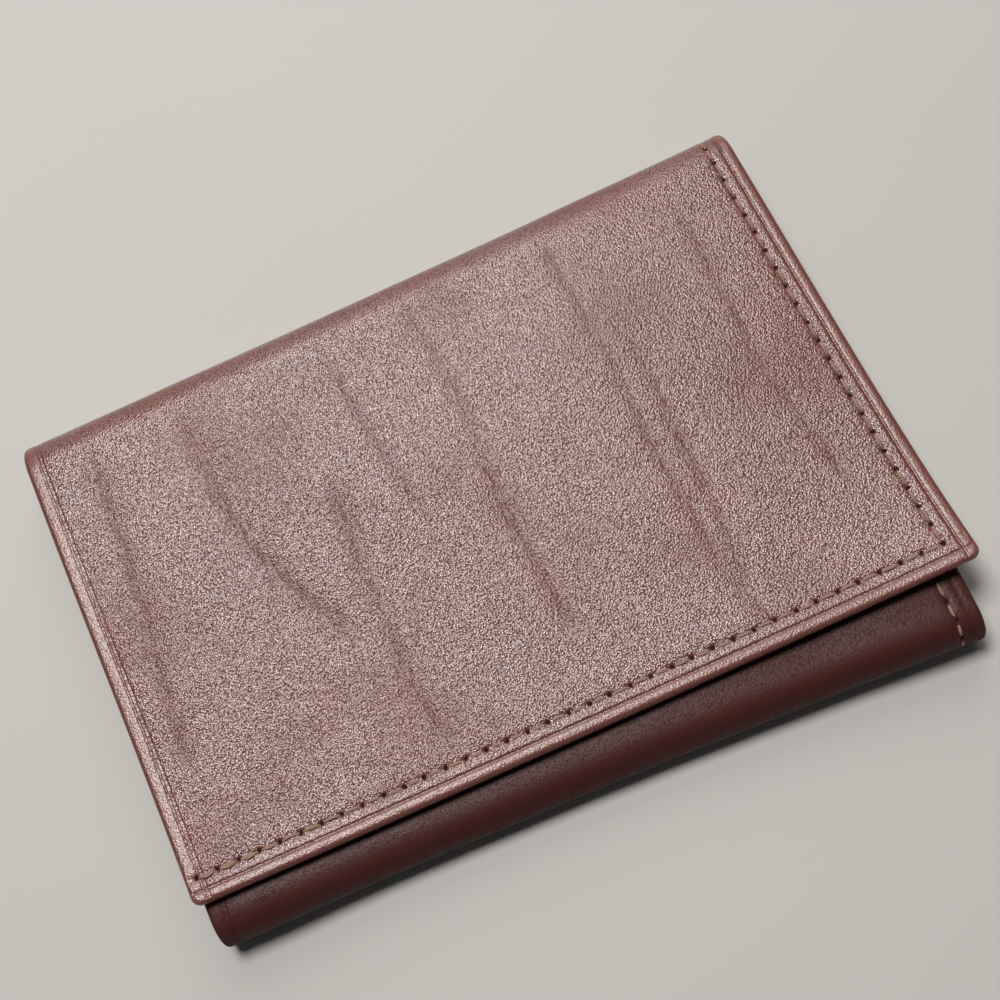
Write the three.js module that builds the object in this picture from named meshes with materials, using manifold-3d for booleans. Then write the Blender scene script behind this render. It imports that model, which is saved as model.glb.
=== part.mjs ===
// Flap-over business card case in leather.
//
// One double-layer strip of leather is folded twice. The back panel lies on the
// table, the bottom fold at -Y brings the strip up and back as the pocket front,
// and the spine at +Y brings it over as the flap. The skin itself is folded along
// the left edge (-X), so that its two halves are the outside and the lining. One
// seam runs along the right edge (+X) and across both free ends of the strip.
//
// Millimetres, +Z up. The origin is the bottom centre of the closed case.

import * as THREE from "three";
import { mergeVertices } from "three/addons/utils/BufferGeometryUtils.js";
import Module from "manifold-3d";

// Overall sizes
const WIDTH = 104; // left fold to stitched edge
const BODY_LENGTH = 70.5; // nose of the bottom fold to the back of the spine
const FLAP_SETBACK = 4.4; // flap's free edge to the nose of the bottom fold
const POCKET_DEPTH = 50; // pocket's mouth to the nose of the bottom fold

// Leather build-up
const SKIN = 0.65; // thickness of one layer of leather
const BOARD = 0.2; // thickness of the stiffening board
const GLUE = 0.05; // glue line between two layers
const CARD_SPACE = 4.3; // back lining to pocket lining
const FLAP_GAP = 0.4; // closed flap to pocket front
const BOARD_MARGIN = 4.6; // edge of a panel to the edge of its board
const CORNER_RADIUS = 1.8; // corners at the strip's two free ends

// Seam
const SEAM_INSET = 3.3; // seam to the edge that it follows
const SEAM_START = 1.6; // end of a cross seam to the left fold
const THREAD_WIDTH = 0.4;
const THREAD_DEPTH = 0.3;
const GROOVE_CLEARANCE = 0.1; // each side of the thread and at its ends

// Gussets at the two sides of the pocket
const GUSSET_SKIN = 0.6;
const GUSSET_INSET = 0.3; // gusset's edge to the edge of the case
const GUSSET_LEG = 3.4; // flat leg that is glued to the lining

const TURN_STEPS = 24; // flat facets round the spine and the bottom fold
const EDGE_STEPS = 8; // flat facets round a gusset's bend and the left edge

// Heights of the closed case
const WALL = 2 * SKIN + BOARD + 2 * GLUE;
const CASE_THICKNESS = 2 * WALL + CARD_SPACE;
const FLAP_BOTTOM = CASE_THICKNESS + FLAP_GAP;
const HEIGHT = FLAP_BOTTOM + WALL;

// Places along the case
const HALF_WIDTH = WIDTH / 2;
const NOSE_Y = -BODY_LENGTH / 2;
const FOLD_RADIUS = CASE_THICKNESS / 2;
const FOLD_Y = NOSE_Y + FOLD_RADIUS;
const SPINE_RADIUS = HEIGHT / 2;
const SPINE_Y = BODY_LENGTH / 2 - SPINE_RADIUS;
const FLAP_EDGE_Y = NOSE_Y + FLAP_SETBACK;
const MOUTH_Y = NOSE_Y + POCKET_DEPTH;
const SEAM_X = HALF_WIDTH - SEAM_INSET;

const wasm = await Module();
wasm.setup();

const leather = { color: 0x6b3833, roughness: 0.5, metalness: 0 };
const liningLeather = { color: 0x5d302c, roughness: 0.6, metalness: 0 };
const gussetLeather = { color: 0x54292a, roughness: 0.6, metalness: 0 };
const boardStock = { color: 0x8c7a66, roughness: 0.9, metalness: 0 };
const needleThread = { color: 0xc4a48e, roughness: 0.7, metalness: 0 };
const bobbinThread = { color: 0xb3937d, roughness: 0.7, metalness: 0 };

function sheetMesh(name, geometry, finish) {
  const mesh = new THREE.Mesh(geometry, new THREE.MeshStandardMaterial(finish));
  mesh.name = name;
  return mesh;
}

function toSolid(geometry) {
  const bare = geometry.clone();
  bare.deleteAttribute("normal");
  bare.deleteAttribute("uv");
  const merged = mergeVertices(bare, 1e-5);
  return new wasm.Manifold(
    new wasm.Mesh({
      numProp: 3,
      vertProperties: new Float32Array(merged.attributes.position.array),
      triVerts: new Uint32Array(merged.index.array),
    }),
  );
}

function toGeometry(solid) {
  const mesh = solid.getMesh();
  const geometry = new THREE.BufferGeometry();
  const places = new Float32Array(mesh.vertProperties);
  geometry.setAttribute("position", new THREE.BufferAttribute(places, 3));
  geometry.setIndex(new THREE.BufferAttribute(new Uint32Array(mesh.triVerts), 1));
  geometry.computeVertexNormals();
  return geometry;
}

function extrudeUp(shape, bottom, top) {
  const settings = { depth: top - bottom, bevelEnabled: false, curveSegments: 6 };
  return new THREE.ExtrudeGeometry(shape, settings).translate(0, 0, bottom);
}

// Extrudes a section drawn in X and Z along Y.
function extrudeAlongY(section, yLow, yHigh) {
  const settings = {
    depth: yHigh - yLow,
    bevelEnabled: false,
    curveSegments: EDGE_STEPS,
  };
  const geometry = new THREE.ExtrudeGeometry(section, settings);
  return geometry.rotateX(Math.PI / 2).translate(0, yHigh, 0);
}

// Extrudes a section drawn in Y and Z along X.
function extrudeAlongX(section, xLow, xHigh) {
  const settings = {
    depth: xHigh - xLow,
    bevelEnabled: false,
    curveSegments: TURN_STEPS,
  };
  const turned = new THREE.Matrix4().makeBasis(
    new THREE.Vector3(0, 1, 0),
    new THREE.Vector3(0, 0, 1),
    new THREE.Vector3(1, 0, 0),
  );
  const geometry = new THREE.ExtrudeGeometry(section, settings);
  return geometry.applyMatrix4(turned).translate(xLow, 0, 0);
}

// A rectangle whose two corners at the free end are rounded. The free end is at
// yFree, and the end at yFold is straight because the strip runs on from there.
function freeEndOutline(xLow, xHigh, yFree, yFold, radius) {
  const way = Math.sign(yFold - yFree);
  const shape = new THREE.Shape();
  shape.moveTo(xLow, yFold);
  shape.lineTo(xLow, yFree + way * radius);
  shape.quadraticCurveTo(xLow, yFree, xLow + radius, yFree);
  shape.lineTo(xHigh - radius, yFree);
  shape.quadraticCurveTo(xHigh, yFree, xHigh, yFree + way * radius);
  shape.lineTo(xHigh, yFold);
  shape.closePath();
  return shape;
}

function rectangle(xLow, xHigh, yLow, yHigh) {
  const shape = new THREE.Shape();
  shape.moveTo(xLow, yLow);
  shape.lineTo(xHigh, yLow);
  shape.lineTo(xHigh, yHigh);
  shape.lineTo(xLow, yHigh);
  shape.closePath();
  return shape;
}

// Half of a ring in section. The ring bulges towards +1 or -1 of its first axis.
function halfRing(centre, middle, outer, inner, side) {
  const start = (-side * Math.PI) / 2;
  const end = start + Math.PI;
  const shape = new THREE.Shape();
  shape.absarc(centre, middle, outer, start, end, false);
  shape.absarc(centre, middle, inner, end, start, true);
  shape.closePath();
  return shape;
}

// The turn of the skin round the left edge of a panel, from its outside to its
// lining, with a short flat stretch that reaches into the outside layer.
function leftTurn(wallBottom, outsideIsUp, yLow, yHigh) {
  const centre = -HALF_WIDTH + WALL / 2;
  const middle = wallBottom + WALL / 2;
  const ring = halfRing(centre, middle, WALL / 2, WALL / 2 - SKIN, -1);
  const lapBottom = outsideIsUp ? wallBottom + WALL - SKIN : wallBottom;
  const lap = rectangle(centre - GLUE, centre + SKIN, lapBottom, lapBottom + SKIN);
  const turn = toSolid(extrudeAlongY(ring, yLow, yHigh));
  return turn.add(toSolid(extrudeAlongY(lap, yLow, yHigh)));
}

// A straight seam along the right edge, and where the strip ends also the cross
// seam over its free end. grow widens it from thread to groove.
function seamOutline(yFree, yFold, grow) {
  const half = THREAD_WIDTH / 2 + grow;
  const way = Math.sign(yFold - yFree);
  const yCross = yFree + way * SEAM_INSET;
  const xStart = -HALF_WIDTH + SEAM_START - grow;
  const shape = new THREE.Shape();
  shape.moveTo(SEAM_X + half, yFold + way * grow);
  shape.lineTo(SEAM_X + half, yCross - way * half);
  shape.lineTo(xStart, yCross - way * half);
  shape.lineTo(xStart, yCross + way * half);
  shape.lineTo(SEAM_X - half, yCross + way * half);
  shape.lineTo(SEAM_X - half, yFold + way * grow);
  shape.closePath();
  return shape;
}

function sideSeamOutline(yLow, yHigh, grow) {
  const half = THREAD_WIDTH / 2 + grow;
  return rectangle(SEAM_X - half, SEAM_X + half, yLow - grow, yHigh + grow);
}

// Cuts the thread's groove into one face of a layer. face is the height of that
// face, and into is +1 where the layer lies above it and -1 where it lies below.
function cutGroove(layer, outline, face, into) {
  const floor = face + into * (THREAD_DEPTH + GROOVE_CLEARANCE);
  const open = face - into * GROOVE_CLEARANCE;
  const cutter = extrudeUp(outline, Math.min(floor, open), Math.max(floor, open));
  return layer.subtract(toSolid(cutter));
}

function threadOn(outline, face, into) {
  const other = face + into * THREAD_DEPTH;
  return extrudeUp(outline, Math.min(face, other), Math.max(face, other));
}

// A panel at a free end of the strip: the flap or the pocket front. Its outside
// faces up.
function endPanel(name, bottom, yFree, yFold) {
  const low = Math.min(yFree, yFold);
  const high = Math.max(yFree, yFold);
  const top = bottom + WALL;
  const turnX = -HALF_WIDTH + WALL / 2;
  const groove = seamOutline(yFree, yFold, GROOVE_CLEARANCE);
  const thread = seamOutline(yFree, yFold, 0);
  const whole = freeEndOutline(-HALF_WIDTH, HALF_WIDTH, yFree, yFold, CORNER_RADIUS);

  const flat = toSolid(extrudeUp(rectangle(turnX, HALF_WIDTH, low, high), top - SKIN, top));
  const corners = toSolid(extrudeUp(whole, bottom, top));
  const outside = flat.add(leftTurn(bottom, true, low, high)).intersect(corners);

  const liningLow = turnX + GLUE;
  const liningShape = freeEndOutline(liningLow, HALF_WIDTH, yFree, yFold, CORNER_RADIUS);
  const lining = toSolid(extrudeUp(liningShape, bottom, bottom + SKIN));

  const boardShape = rectangle(
    -HALF_WIDTH + BOARD_MARGIN,
    HALF_WIDTH - BOARD_MARGIN,
    low + BOARD_MARGIN,
    high - BOARD_MARGIN,
  );
  const boardBottom = bottom + SKIN + GLUE;
  return [
    sheetMesh(`${name}_outer`, toGeometry(cutGroove(outside, groove, top, -1)), leather),
    sheetMesh(
      `${name}_lining`,
      toGeometry(cutGroove(lining, groove, bottom, 1)),
      liningLeather,
    ),
    sheetMesh(
      `${name}_board`,
      extrudeUp(boardShape, boardBottom, boardBottom + BOARD),
      boardStock,
    ),
    sheetMesh(`${name}_needle_thread`, threadOn(thread, top, -1), needleThread),
    sheetMesh(`${name}_bobbin_thread`, threadOn(thread, bottom, 1), bobbinThread),
  ];
}

// The back panel, which the case rests on. Its outside faces down.
function backPanel() {
  const turnX = -HALF_WIDTH + WALL / 2;
  const groove = sideSeamOutline(FOLD_Y, SPINE_Y, GROOVE_CLEARANCE);
  const thread = sideSeamOutline(FOLD_Y, SPINE_Y, 0);
  const flat = toSolid(extrudeUp(rectangle(turnX, HALF_WIDTH, FOLD_Y, SPINE_Y), 0, SKIN));
  const outside = flat.add(leftTurn(0, false, FOLD_Y, SPINE_Y));
  const liningShape = rectangle(turnX + GLUE, HALF_WIDTH, FOLD_Y, SPINE_Y);
  const lining = toSolid(extrudeUp(liningShape, WALL - SKIN, WALL));
  const boardShape = rectangle(
    -HALF_WIDTH + BOARD_MARGIN,
    HALF_WIDTH - BOARD_MARGIN,
    FOLD_Y + BOARD_MARGIN,
    SPINE_Y - BOARD_MARGIN,
  );
  const boardBottom = SKIN + GLUE;
  return [
    sheetMesh("back_outer", toGeometry(cutGroove(outside, groove, 0, 1)), leather),
    sheetMesh(
      "back_lining",
      toGeometry(cutGroove(lining, groove, WALL, -1)),
      liningLeather,
    ),
    sheetMesh(
      "back_board",
      extrudeUp(boardShape, boardBottom, boardBottom + BOARD),
      boardStock,
    ),
    sheetMesh("back_needle_thread", threadOn(thread, 0, 1), needleThread),
    sheetMesh("back_bobbin_thread", threadOn(thread, WALL, -1), bobbinThread),
  ];
}

// A half-round turn of the strip: the spine or the bottom fold. side is +1 where
// it bulges towards +Y.
function turnOfStrip(name, centreY, radius, side) {
  const inner = radius - WALL;
  const half = THREAD_WIDTH / 2;
  const slot = half + GROOVE_CLEARANCE;
  const grooveDepth = THREAD_DEPTH + GROOVE_CLEARANCE;

  function ringAlong(outer, inside, xLow, xHigh) {
    const section = halfRing(centreY, radius, outer, inside, side);
    return extrudeAlongX(section, xLow, xHigh);
  }

  const outside = toSolid(ringAlong(radius, radius - SKIN, -HALF_WIDTH, HALF_WIDTH));
  const lining = toSolid(ringAlong(inner + SKIN, inner, -HALF_WIDTH + SKIN, HALF_WIDTH));
  const outerCut = toSolid(
    ringAlong(radius + 1, radius - grooveDepth, SEAM_X - slot, SEAM_X + slot),
  );
  const innerCut = toSolid(
    ringAlong(inner + grooveDepth, inner - 1, SEAM_X - slot, SEAM_X + slot),
  );
  return [
    sheetMesh(`${name}_outer`, toGeometry(outside.subtract(outerCut)), leather),
    sheetMesh(`${name}_lining`, toGeometry(lining.subtract(innerCut)), liningLeather),
    sheetMesh(
      `${name}_needle_thread`,
      ringAlong(radius, radius - THREAD_DEPTH, SEAM_X - half, SEAM_X + half),
      needleThread,
    ),
    sheetMesh(
      `${name}_bobbin_thread`,
      ringAlong(inner + THREAD_DEPTH, inner, SEAM_X - half, SEAM_X + half),
      bobbinThread,
    ),
  ];
}

// A gusset is a strip folded into a U that is open to the outside. Its two legs
// are glued to the back lining and the pocket lining. side is +1 at the right.
function gusset(name, side) {
  const low = WALL + GLUE;
  const high = WALL + CARD_SPACE - GLUE;
  const middle = (low + high) / 2;
  const outer = (high - low) / 2;
  const inner = outer - GUSSET_SKIN;
  const edgeX = side * (HALF_WIDTH - GUSSET_INSET);
  const bendX = edgeX - side * GUSSET_LEG;
  const bend = halfRing(bendX, middle, outer, inner, -side);
  const legLow = Math.min(edgeX, bendX);
  const legHigh = Math.max(edgeX, bendX);
  const yLow = FOLD_Y + GLUE;
  const lowerLeg = rectangle(legLow, legHigh, low, low + GUSSET_SKIN);
  const upperLeg = rectangle(legLow, legHigh, high - GUSSET_SKIN, high);
  const solid = toSolid(extrudeAlongY(bend, yLow, MOUTH_Y))
    .add(toSolid(extrudeAlongY(lowerLeg, yLow, MOUTH_Y)))
    .add(toSolid(extrudeAlongY(upperLeg, yLow, MOUTH_Y)));
  return sheetMesh(name, toGeometry(solid), gussetLeather);
}

const caseGroup = new THREE.Group();
caseGroup.add(...backPanel());
caseGroup.add(...turnOfStrip("fold", FOLD_Y, FOLD_RADIUS, -1));
caseGroup.add(...endPanel("pocket", WALL + CARD_SPACE, MOUTH_Y, FOLD_Y));
caseGroup.add(gusset("gusset_left", -1), gusset("gusset_right", 1));

const spineGroup = new THREE.Group();
spineGroup.add(...turnOfStrip("spine", SPINE_Y, SPINE_RADIUS, 1));

const flapGroup = new THREE.Group();
flapGroup.add(...endPanel("flap", FLAP_BOTTOM, FLAP_EDGE_Y, SPINE_Y));

const group = new THREE.Group();
group.add(caseGroup, spineGroup, flapGroup);

export default group;
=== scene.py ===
"""Looks of a flap-over business card case in oxblood leather.

The skin, its lining, the boards and the threads are cut flat and then folded round
the case. A point of the flat strip is (across, along, depth): across from the left
edge to the right, along from the flap's free edge over the spine, the back and the
bottom fold to the pocket's mouth, and depth from the outside of the leather.
"""

import math

import bmesh
import bpy
import numpy as np
from mathutils import Matrix, Vector, noise


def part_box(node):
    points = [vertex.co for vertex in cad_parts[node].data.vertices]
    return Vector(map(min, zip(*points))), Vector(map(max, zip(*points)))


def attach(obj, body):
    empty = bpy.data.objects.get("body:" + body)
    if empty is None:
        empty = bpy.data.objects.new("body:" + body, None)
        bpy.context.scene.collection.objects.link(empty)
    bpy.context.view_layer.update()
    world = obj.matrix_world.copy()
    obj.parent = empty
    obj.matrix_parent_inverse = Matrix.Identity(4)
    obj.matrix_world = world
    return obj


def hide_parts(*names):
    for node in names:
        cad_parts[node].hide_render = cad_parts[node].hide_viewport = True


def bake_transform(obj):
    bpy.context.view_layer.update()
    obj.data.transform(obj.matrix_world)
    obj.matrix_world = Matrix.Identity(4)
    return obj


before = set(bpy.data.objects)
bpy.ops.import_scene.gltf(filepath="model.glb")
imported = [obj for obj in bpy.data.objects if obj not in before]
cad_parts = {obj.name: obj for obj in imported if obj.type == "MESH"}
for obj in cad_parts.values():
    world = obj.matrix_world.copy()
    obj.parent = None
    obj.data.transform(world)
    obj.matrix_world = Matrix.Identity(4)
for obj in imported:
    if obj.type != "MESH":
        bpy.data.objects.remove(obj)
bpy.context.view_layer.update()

MM = 0.001

# ---------------------------------------------------------------- sizes of the case

FLAP_LOW, FLAP_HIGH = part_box("flap_outer")
BACK_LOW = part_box("back_outer")[0]
POCKET_LOW, POCKET_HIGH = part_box("pocket_outer")
LINING_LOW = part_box("flap_lining")[0]
SEAM_LOW, SEAM_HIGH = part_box("flap_needle_thread")

HALF_WIDTH = FLAP_HIGH.x
HEIGHT = FLAP_HIGH.z
WALL = HEIGHT - LINING_LOW.z
POCKET_TOP = POCKET_HIGH.z
POCKET_INSIDE = POCKET_LOW.z
SPINE_Y = FLAP_HIGH.y
FLAP_EDGE_Y = FLAP_LOW.y
FOLD_Y = BACK_LOW.y
MOUTH_Y = POCKET_HIGH.y
SPINE_RADIUS = HEIGHT / 2
FOLD_RADIUS = POCKET_TOP / 2

# Lengths of the flat strip, from the flap's free edge to the pocket's mouth
FLAP_LENGTH = SPINE_Y - FLAP_EDGE_Y
SPINE_ARC = math.pi * SPINE_RADIUS
BACK_LENGTH = SPINE_Y - FOLD_Y
FOLD_ARC = math.pi * FOLD_RADIUS
POCKET_LENGTH = MOUTH_Y - FOLD_Y
SPINE_END = FLAP_LENGTH + SPINE_ARC
BACK_END = SPINE_END + BACK_LENGTH
FOLD_END = BACK_END + FOLD_ARC
STRIP_LENGTH = FOLD_END + POCKET_LENGTH
SPINE_MIDDLE = FLAP_LENGTH + SPINE_ARC / 2

# The seam and the creases, measured in from the edge
HALF_STRAND = 0.2 * MM
SEAM_INSET = HALF_WIDTH - (SEAM_HIGH.x - HALF_STRAND)
SEAM_X = HALF_WIDTH - SEAM_INSET
SEAM_START_X = SEAM_LOW.x
CREASE_INSET = 1.65 * MM
LEFT_CREASES = (1.95 * MM, 2.4 * MM)
SIDE_STITCHES = 69
END_STITCHES = 36
SIDE_PITCH = (STRIP_LENGTH - 2 * SEAM_INSET) / SIDE_STITCHES
END_PITCH = (SEAM_X - SEAM_START_X) / END_STITCHES

# The leather's edges
CORNER_RADIUS = 1.3 * MM
EDGE_ROUND = 0.62 * MM
UNDER_ROUND = 0.22 * MM
LINING_PROUD = 0.28 * MM
LINING_INSET = 1.1 * MM
SKIN_THICKNESS = 0.42 * MM
BOARD_THICKNESS = 0.2 * MM

# How the leather has settled. The flap and the pocket dip in their middle and along
# their free end, and the flap's two free corners lift, the right one most at its tip.
MIDDLE_DIP = 0.9 * MM
END_DIP = 1.2 * MM
RIGHT_LIFT = 0.8 * MM
LEFT_LIFT = 0.2 * MM
TIP_LIFT = 0.45 * MM
TIP_REACH = 8.0 * MM
# The outline is out of square: the flap's right corner stands out, its left one is drawn
# in, the spine's right end is narrower and further back, and the free end runs aslant.
TIP_OUT = 1.5 * MM
LEFT_IN = 0.5 * MM
SPINE_NARROW = 1.15 * MM
SPINE_SKEW = 1.15 * MM
SKEW = 0.45 * MM
# The bottom fold is narrower than the flap, and stands out more at its right end
DRAW_IN = 1.3 * MM
NOSE_OUT = 0.9 * MM
NOSE_RIGHT = 3.3 * MM
# Makes the middle dip 1 deep where it is deepest, two thirds of the way from the spine
DIP_SCALE = 6.75


def smooth_step(share):
    """0 to 1 with a level start and end."""
    share = np.clip(share, 0.0, 1.0)
    return share * share * (3.0 - 2.0 * share)


def groove(distance, width):
    """1 at the middle of a groove, falling softly to 0 on both sides."""
    return np.exp(-((distance / width) ** 2))


# ---------------------------------------------------------------- flat and folded


def fold_up(flat):
    """Folds points of the flat strip, (across, along, -depth), round the case."""
    across = flat[:, 0]
    along = flat[:, 1]
    depth = -flat[:, 2]
    spine_turn = math.pi / 2 - (along - FLAP_LENGTH) / SPINE_RADIUS
    fold_turn = -math.pi / 2 - (along - BACK_END) / FOLD_RADIUS
    places = [along < FLAP_LENGTH, along < SPINE_END, along < BACK_END, along < FOLD_END]
    y = np.select(
        places,
        [
            FLAP_EDGE_Y + along,
            SPINE_Y + (SPINE_RADIUS - depth) * np.cos(spine_turn),
            SPINE_Y - (along - SPINE_END),
            FOLD_Y + (FOLD_RADIUS - depth) * np.cos(fold_turn),
        ],
        FOLD_Y + (along - FOLD_END),
    )
    z = np.select(
        places,
        [
            HEIGHT - depth,
            SPINE_RADIUS + (SPINE_RADIUS - depth) * np.sin(spine_turn),
            depth,
            FOLD_RADIUS + (FOLD_RADIUS - depth) * np.sin(fold_turn),
        ],
        POCKET_TOP - depth,
    )
    return settle(np.column_stack([across, y, z]), along < SPINE_MIDDLE)


def settle(points, on_flap):
    """Lets folded points sag, lift and go out of square as the worn case does.

    The back keeps its level, and the depth of the dip grows from it up to the pocket."""
    across = np.clip(points[:, 0] / HALF_WIDTH, -1.0, 1.0)
    reach = np.clip((SPINE_Y - points[:, 1]) / FLAP_LENGTH, 0.0, 1.0)
    middle = DIP_SCALE * reach**2 * (1.0 - reach)
    dip = MIDDLE_DIP * middle + END_DIP * (1.0 - across**2) * reach**2
    inside = (points[:, 2] - WALL) / (POCKET_INSIDE - WALL)
    share = np.where(on_flap, 1.0, smooth_step(inside))
    right = ((1.0 + across) / 2) ** 3 * reach**2
    left = ((1.0 - across) / 2) ** 3 * reach**2
    from_tip = np.hypot(points[:, 0] - HALF_WIDTH, points[:, 1] - FLAP_EDGE_Y)
    lift = RIGHT_LIFT * right + LEFT_LIFT * left + TIP_LIFT * groove(from_tip, TIP_REACH)
    to_right = ((1.0 + across) / 2) ** 2
    to_spine = (1.0 - reach) ** 2
    corners = TIP_OUT * right + LEFT_IN * left
    settled = points.copy()
    settled[:, 0] += np.where(on_flap, corners, -DRAW_IN * across * reach**2)
    settled[:, 0] -= SPINE_NARROW * to_right * to_spine
    settled[:, 1] += SPINE_SKEW * to_right * to_spine - SKEW * across * reach
    settled[:, 1] -= np.where(on_flap, 0.0, (NOSE_OUT + NOSE_RIGHT * to_right) * reach**2)
    settled[:, 2] += np.where(on_flap, lift, 0.0) - dip * share
    return settled


# ---------------------------------------------------------------- wrinkles of the flap

# Each wrinkle runs from the spine towards the free edge. Its course is pairs of
# (share of the way from the spine, share of the half width), then its width and depth.
WRINKLES = (
    (((0.02, -0.60), (0.22, -0.585), (0.38, -0.54), (0.62, -0.41)), 1.9 * MM, 0.15 * MM),
    (((0.30, -0.31), (0.49, -0.33), (0.71, -0.32), (0.90, -0.30)), 1.9 * MM, 0.13 * MM),
    (((0.03, -0.84), (0.24, -0.84), (0.46, -0.87), (0.72, -0.89)), 1.7 * MM, 0.11 * MM),
    (((0.01, 0.04), (0.15, 0.07), (0.34, 0.07), (0.52, 0.05), (0.80, 0.08)), 1.6 * MM, 0.13 * MM),
    (((0.01, 0.44), (0.29, 0.46), (0.52, 0.45), (0.80, 0.46), (0.95, 0.51)), 1.1 * MM, 0.10 * MM),
    (((0.28, 0.525), (0.62, 0.52), (0.86, 0.50)), 0.9 * MM, 0.08 * MM),
    (((0.05, -0.20), (0.25, -0.17), (0.45, -0.12)), 1.2 * MM, 0.07 * MM),
    (((0.10, 0.80), (0.45, 0.78), (0.75, 0.82)), 0.9 * MM, 0.05 * MM),
)
WRINKLE_FADE = 0.09
# Each wrinkle is a soft band with a sharper core, (share of the depth, strength)
WRINKLE_BAND = (0.8, 0.6)
WRINKLE_CORE = (0.25, 0.5)
CORE_WIDTH = 0.35
# The wrinkles wander from their course by this much, in long and short waves
LONG_WANDER = (14 * MM, 0.7 * MM)
SHORT_WANDER = (3 * MM, 0.2 * MM)
# They come and go along their length: the size of the noise, its middle and its swing
BROKEN = (7 * MM, 0.85, 0.35)
# A thin raised scratch: shares of the way from the spine, share of the half width
SCRATCH_ALONG = (0.47, 0.61)
SCRATCH_ACROSS = 0.585
SCRATCH_WIDTH = 0.22 * MM
SCRATCH_HEIGHT = 0.04 * MM
SCRATCH_FADE = 0.03


def soft_noise(points, size, seed):
    """Smooth noise of the given size at flat points, about -1 to 1."""
    shift = Vector((seed * 7.31, seed * 3.17, seed * 1.73))
    return np.array([noise.noise(Vector((p[0] / size, p[1] / size, 0.0)) + shift) for p in points])


def wrinkle_marks(flat):
    """(depth, strength) of the wrinkles at flat points: how far in, and 0 to 1."""
    reach = 1.0 - flat[:, 1] / FLAP_LENGTH
    wander = soft_noise(flat, LONG_WANDER[0], 1) * LONG_WANDER[1]
    wander = wander + soft_noise(flat, SHORT_WANDER[0], 3) * SHORT_WANDER[1]
    broken = BROKEN[1] + BROKEN[2] * soft_noise(flat, BROKEN[0], 2)
    depth = np.zeros(len(flat))
    strength = np.zeros(len(flat))
    for course, width, deep in WRINKLES:
        stops = np.array(course)
        centre = np.interp(reach, stops[:, 0], stops[:, 1]) * HALF_WIDTH + wander
        start = smooth_step((reach - stops[0, 0]) / WRINKLE_FADE + 0.5)
        end = smooth_step((stops[-1, 0] - reach) / WRINKLE_FADE + 0.5)
        band = groove(flat[:, 0] - centre, width)
        core = groove(flat[:, 0] - centre, CORE_WIDTH * width)
        shown = start * end * broken
        depth += deep * (WRINKLE_BAND[0] * band + WRINKLE_CORE[0] * core) * shown
        strength = np.maximum(strength, (WRINKLE_BAND[1] * band + WRINKLE_CORE[1] * core) * shown)
    scratch = groove(flat[:, 0] - SCRATCH_ACROSS * HALF_WIDTH, SCRATCH_WIDTH)
    begun = smooth_step((reach - SCRATCH_ALONG[0]) / SCRATCH_FADE)
    unended = smooth_step((SCRATCH_ALONG[1] - reach) / SCRATCH_FADE)
    depth -= SCRATCH_HEIGHT * scratch * (begun * unended)
    return depth, np.clip(strength, 0.0, 1.0)


# ---------------------------------------------------------------- grid lines of a sheet

# Grid lines closer to each other than this are left out
LEAST_STEP = 0.09 * MM
# The last grid line before the join in the spine, so that the two halves meet smoothly
JOIN_STEP = 0.08 * MM


def sheet_lines(low, high, step, through, fine):
    """Grid lines from low to high: fine ones, and even ones a step apart through a point."""
    first = through - math.floor((through - low) / step) * step
    even = np.arange(first, high, step)
    kept = [line for line in fine if low <= line <= high]
    kept += [low, high]
    for line in even:
        if min(abs(line - other) for other in kept) > LEAST_STEP:
            kept.append(line)
    return np.array(sorted(set(round(float(line), 8) for line in kept)))


# Where the grid is fine, in from the edge: at the rounding and the crease, then the seam
AT_CREASE = [0.72, 0.95, 1.2, 1.4, 1.52, 1.65, 1.78, 1.92, 2.15, 2.5]
AT_SEAM = [2.9, 3.12, 3.3, 3.48, 3.7, 4.1]
AT_LEFT_CREASES = [0.75, 1.05, 1.4, 1.65, 1.8, 1.95, 2.1, 2.25, 2.4, 2.55, 2.75, 3.1, 3.6]
CREASED_EDGE = np.array(AT_CREASE + AT_SEAM) * MM
LEFT_END_LINES = -HALF_WIDTH + np.array(AT_LEFT_CREASES) * MM
RIGHT_END_LINES = HALF_WIDTH - CREASED_EDGE


def flat_grid(columns, rows):
    """A flat sheet with its grid lines at the given places."""
    bm = bmesh.new()
    across_count = len(columns) - 1
    along_count = len(rows) - 1
    bmesh.ops.create_grid(bm, x_segments=across_count, y_segments=along_count, size=1.0)
    for vert in bm.verts:
        column = round((vert.co.x + 1.0) / 2 * across_count)
        row = round((vert.co.y + 1.0) / 2 * along_count)
        vert.co = (columns[column], rows[row], 0.0)
    return bm


# Lengths that count as nothing, in metres
NO_LENGTH = 1e-9
AT_JOIN = 1e-7


def inner_corner(co, free_end, join):
    """The nearest point of the sheet's outline drawn in by the corner radius."""
    low, high = sorted((free_end, join))
    if free_end < join:
        low += CORNER_RADIUS
    else:
        high -= CORNER_RADIUS
    across = min(max(co.x, -HALF_WIDTH + CORNER_RADIUS), HALF_WIDTH - CORNER_RADIUS)
    along = min(max(co.y, low), high)
    return Vector((across, along, 0.0))


def round_corners(bm, free_end, join):
    """Bends the grid's two corners at the free end round."""
    for vert in bm.verts:
        arm = Vector((vert.co.x, vert.co.y, 0.0)) - inner_corner(vert.co, free_end, join)
        if abs(arm.x) > NO_LENGTH and abs(arm.y) > NO_LENGTH:
            arm *= max(abs(arm.x), abs(arm.y)) / arm.length
            vert.co = inner_corner(vert.co, free_end, join) + arm + Vector((0, 0, vert.co.z))


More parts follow.
